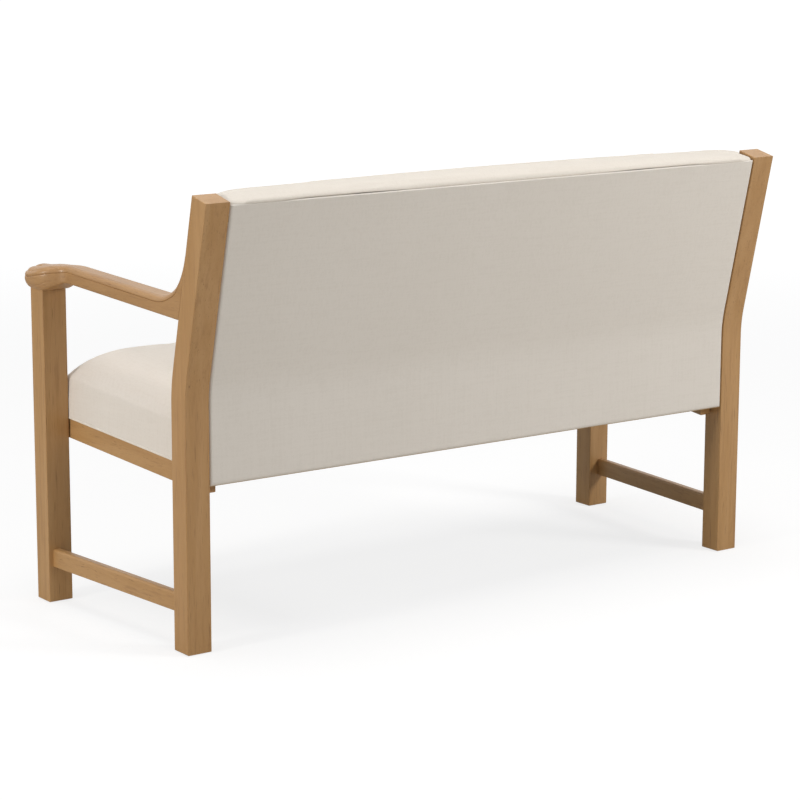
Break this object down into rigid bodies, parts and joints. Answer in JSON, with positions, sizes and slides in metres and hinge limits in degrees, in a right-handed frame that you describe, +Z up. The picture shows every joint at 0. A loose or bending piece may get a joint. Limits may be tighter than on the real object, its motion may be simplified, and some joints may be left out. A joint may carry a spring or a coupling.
{
  "type": "upholstered open-arm settee",
  "caption": "Upholstered settee with an open honey-coloured wood frame, raked back posts, arms with rounded handholds, and off-white cloth on seat and back.",
  "frame": {"origin": "centre of the settee's bounding box in plan, on the floor under the glides", "axes": "+X along the settee's length towards the sitter's left, +Y towards the back, +Z up; the seat faces -Y"},
  "size_m": [1.448, 0.5987, 0.8382],
  "materials": {
    "wood": "honey-brown hardwood under satin lacquer",
    "frame_wood": "raw sawn hardwood inside the upholstery",
    "fabric": "off-white plain-weave upholstery cloth",
    "outside_fabric": "the same off-white cloth stretched over a thin board",
    "welt": "cloth-covered cord along the lower edge",
    "padding": "firm upholstery foam",
    "webbing": "woven straps",
    "insulator": "coarse woven sheet",
    "dust_cloth": "black non-woven cloth",
    "board": "pressed fibre strip",
    "screw_steel": "plain screws",
    "glide": "nailed plastic glides"
  },
  "bodies": {
    "root": {"glides": "glide", "left_front_leg": "wood", "right_front_leg": "wood", "left_back_post": "wood", "right_back_post": "wood", "left_side_stretcher": "wood", "right_side_stretcher": "wood", "left_arm": "wood", "right_arm": "wood", "arm_front_dowels": "frame_wood", "arm_rear_dowels": "frame_wood", "left_side_seat_rail": "wood", "right_side_seat_rail": "wood", "front_seat_rail": "wood", "rear_seat_rail": "frame_wood", "seat_brace": "frame_wood", "corner_blocks": "frame_wood", "corner_block_screws": "screw_steel", "top_back_rail": "frame_wood", "lower_back_rail": "frame_wood", "left_back_stile": "frame_wood", "right_back_stile": "frame_wood", "back_centre_stile": "frame_wood", "tack_strips": "board", "outside_back_panel": "outside_fabric", "back_webbing": "webbing", "back_insulator": "insulator", "seat_webbing": "webbing", "seat_cross_webbing": "webbing", "seat_insulator": "insulator", "seat_foam": "padding", "back_foam": "padding", "seat_cover": "fabric", "inside_back_cover": "fabric", "seat_welt": "welt", "dust_cover": "dust_cloth"}
  },
  "joints": []
}
